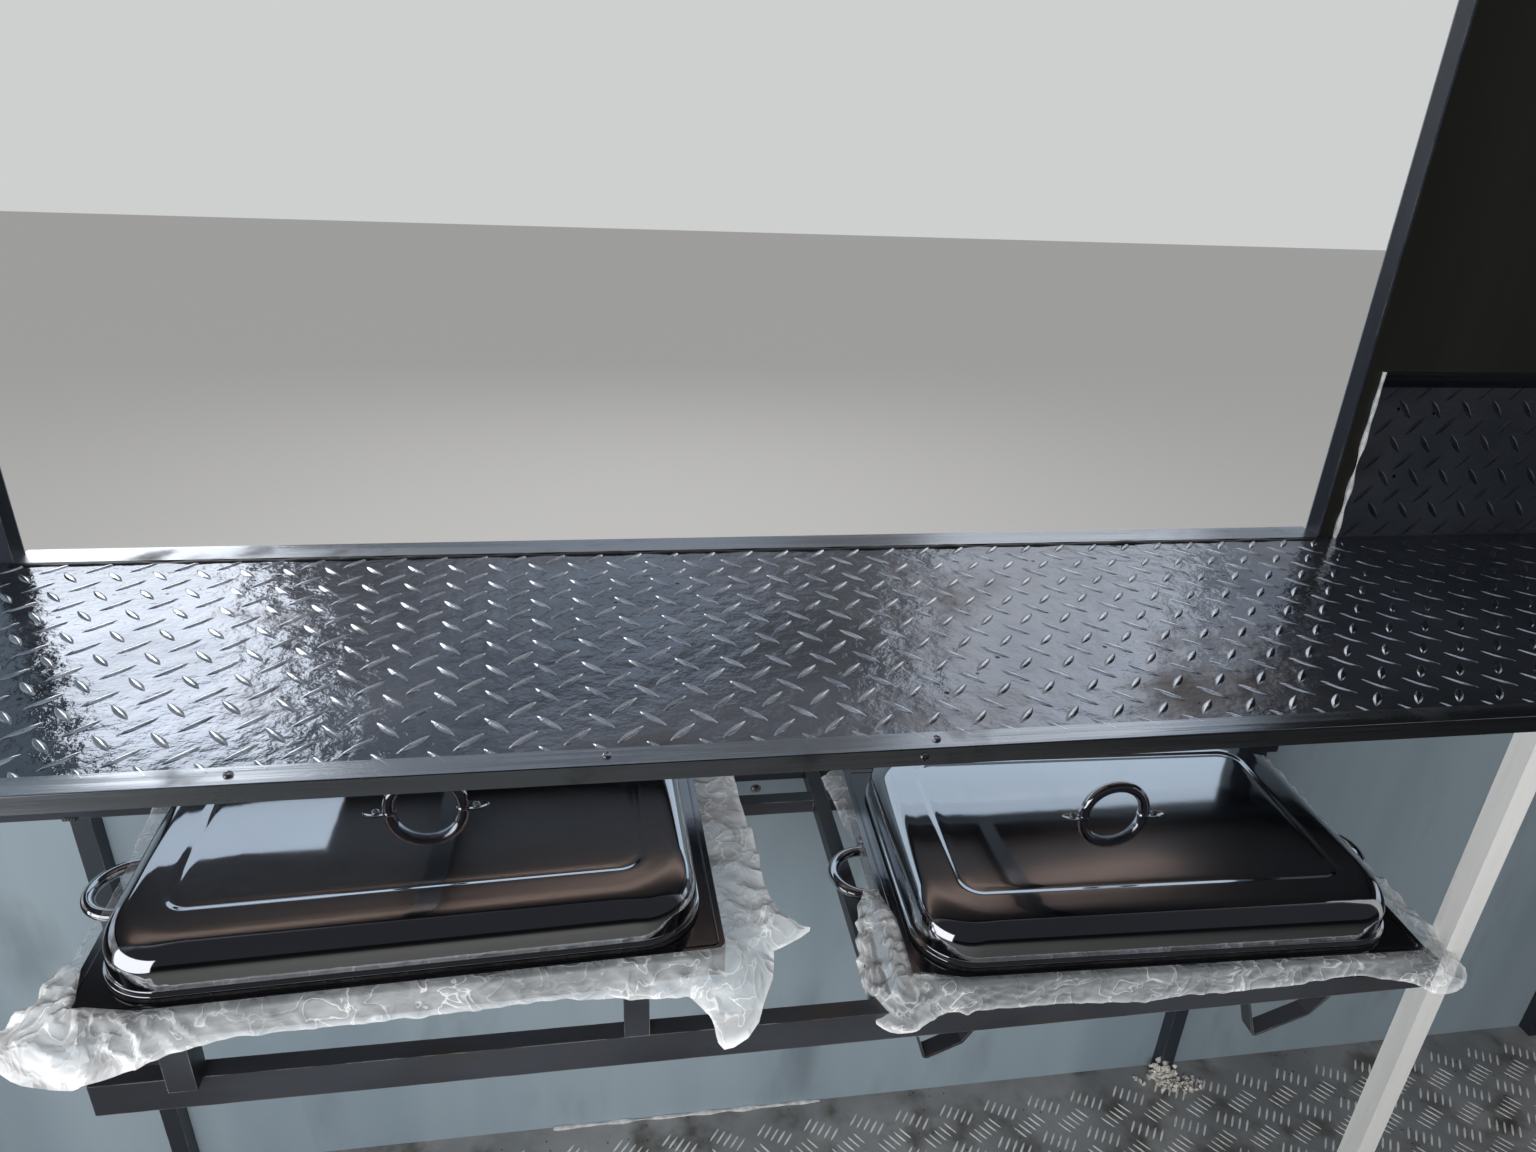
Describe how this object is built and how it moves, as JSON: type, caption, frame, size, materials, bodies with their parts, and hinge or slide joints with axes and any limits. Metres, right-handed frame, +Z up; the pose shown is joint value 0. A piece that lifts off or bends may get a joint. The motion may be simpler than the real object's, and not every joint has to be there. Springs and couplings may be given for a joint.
{
  "type": "catering trailer serving bay",
  "caption": "Section of a kitchen trailer's side wall with open serving hatch, chequer-plate counter, steel rack and chafing dishes whose lids lift.",
  "frame": {"origin": "middle of the footprint, on the ground under the floor rails", "axes": "+X along the wall to the right as seen from inside, +Y out through the wall, +Z up"},
  "size_m": [2.75, 0.628, 2.103],
  "materials": {
    "frame_paint": "charcoal gloss paint, scuffed",
    "rack_steel": "grey-brown satin steel",
    "wall_paint": "pale grey-blue satin paint",
    "lining_paint": "dark satin paint",
    "tread_plate": "dull five-bar tread, dirty",
    "chequer_plate": "bright rolled",
    "trim_alloy": "satin",
    "mirror_steel": "mirror polished stainless",
    "seal_rubber": "matt, speckled",
    "film": "crumpled clear film"
  },
  "bodies": {
    "root": {"post_left": "frame_paint", "post_right": "frame_paint", "post_end": "frame_paint", "top_rail": "frame_paint", "hatch_head_rail": "frame_paint", "hatch_sill_rail": "frame_paint", "counter_front_tube": "frame_paint", "counter_ledger": "frame_paint", "counter_cross_bearers": "frame_paint", "floor_rail_outer": "frame_paint", "floor_rail_inner": "frame_paint", "floor_cross_members": "frame_paint", "rack_wall_ledger": "frame_paint", "rack_front_rail": "rack_steel", "rack_cross_rails": "rack_steel", "rack_rear_rails": "rack_steel", "dish_stubs": "rack_steel", "rack_straps": "rack_steel", "skin_lower": "wall_paint", "skin_left": "wall_paint", "skin_right": "wall_paint", "skin_header": "wall_paint", "lining_right": "lining_paint", "floor_tread_plate": "tread_plate", "counter_chequer_plate": "chequer_plate", "splashback": "chequer_plate", "front_post_left": "trim_alloy", "front_post_right": "trim_alloy", "sill_strip": "trim_alloy", "counter_front_angle": "trim_alloy", "splashback_cap": "trim_alloy", "water_pan_left": "mirror_steel", "food_pan_left": "mirror_steel", "pan_grips_left": "mirror_steel", "lid_seal_left": "seal_rubber", "film_left": "film", "water_pan_right": "mirror_steel", "food_pan_right": "mirror_steel", "pan_grips_right": "mirror_steel", "lid_seal_right": "seal_rubber", "film_right": "film"},
    "lid_left_body": {"lid_left": "mirror_steel", "lid_handle_left": "mirror_steel"},
    "lid_right_body": {"lid_right": "mirror_steel", "lid_handle_right": "mirror_steel"}
  },
  "joints": [
    {"name": "lid_left_lift", "type": "slide", "parent": "root", "child": "lid_left_body", "axis": [0, 0, 1], "range_m": [0, 0.085]},
    {"name": "lid_right_lift", "type": "slide", "parent": "root", "child": "lid_right_body", "axis": [0, 0, 1], "range_m": [0, 0.15]}
  ]
}
